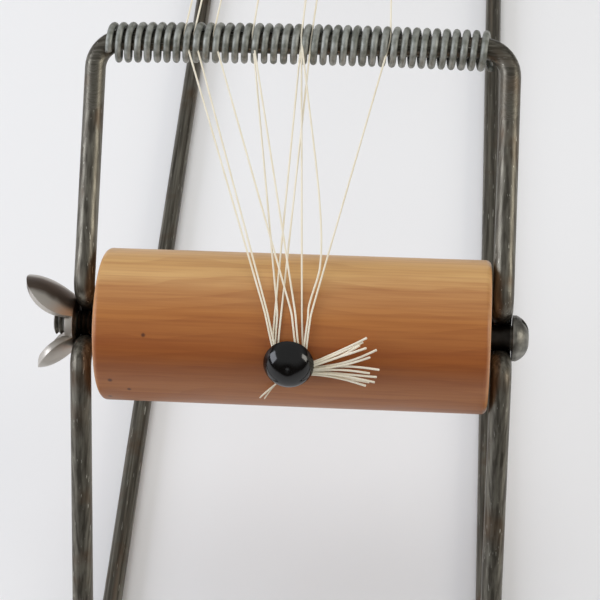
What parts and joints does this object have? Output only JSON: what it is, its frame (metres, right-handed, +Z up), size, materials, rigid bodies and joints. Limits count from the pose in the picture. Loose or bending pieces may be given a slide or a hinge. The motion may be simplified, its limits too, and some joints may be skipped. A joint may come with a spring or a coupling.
{
  "type": "bead loom",
  "caption": "Bent-wire bead loom: two arched wire ends carry coil springs that space the warp, which winds onto wooden rollers clamped by wing nuts",
  "frame": {"origin": "on the table, under the middle of the loom", "axes": "+Z up, Y along the loom with the near end at -Y, X across it with the near wing nut at -X"},
  "size_m": [0.0854, 0.32, 0.09],
  "materials": {
    "frame_wire": "dark oxidised drawn wire with bright scratches",
    "spring_wire": "dull galvanised",
    "screw_steel": "dull zinc plate",
    "roller_wood": "satin varnish",
    "nut_metal": "tarnished nickel plate",
    "tack_enamel": "gloss black",
    "warp_thread": "waxed cotton"
  },
  "bodies": {
    "frame": {"frame_wire_left": "frame_wire", "frame_wire_right": "frame_wire", "near_spring": "spring_wire", "far_spring": "spring_wire", "near_screw": "screw_steel", "far_screw": "screw_steel", "warp_thread_01": "warp_thread", "warp_thread_02": "warp_thread", "warp_thread_03": "warp_thread", "warp_thread_04": "warp_thread", "warp_thread_05": "warp_thread", "warp_thread_06": "warp_thread", "warp_thread_07": "warp_thread", "warp_thread_08": "warp_thread", "warp_thread_09": "warp_thread", "warp_thread_10": "warp_thread"},
    "near_winder": {"near_roller": "roller_wood", "near_tack": "tack_enamel", "near_warp_ends": "warp_thread"},
    "far_winder": {"far_roller": "roller_wood", "far_tack": "tack_enamel", "far_warp_ends": "warp_thread"},
    "near_nut": {"near_wing_nut": "nut_metal"},
    "far_nut": {"far_wing_nut": "nut_metal"}
  },
  "joints": [
    {"name": "near_roller_turn", "type": "hinge", "parent": "frame", "child": "near_winder", "pos_m": [0, -0.11006, 0.05845], "axis": [1, 0, 0], "range_deg": [0, 170], "deforming": ["near_warp_ends"]},
    {"name": "far_roller_turn", "type": "hinge", "parent": "frame", "child": "far_winder", "pos_m": [0, 0.11006, 0.05845], "axis": [1, 0, 0], "range_deg": [0, 170]},
    {"name": "near_nut_turn", "type": "hinge", "parent": "frame", "child": "near_nut", "pos_m": [-0.0363, -0.11006, 0.05845], "axis": [-1, 0, 0], "range_deg": [0, 450]},
    {"name": "far_nut_turn", "type": "hinge", "parent": "frame", "child": "far_nut", "pos_m": [0.0363, 0.11006, 0.05845], "axis": [1, 0, 0], "range_deg": [0, 450]}
  ],
  "couplings": [
    {"joint": "far_roller_turn", "follows": "near_roller_turn", "ratio": 1}
  ]
}
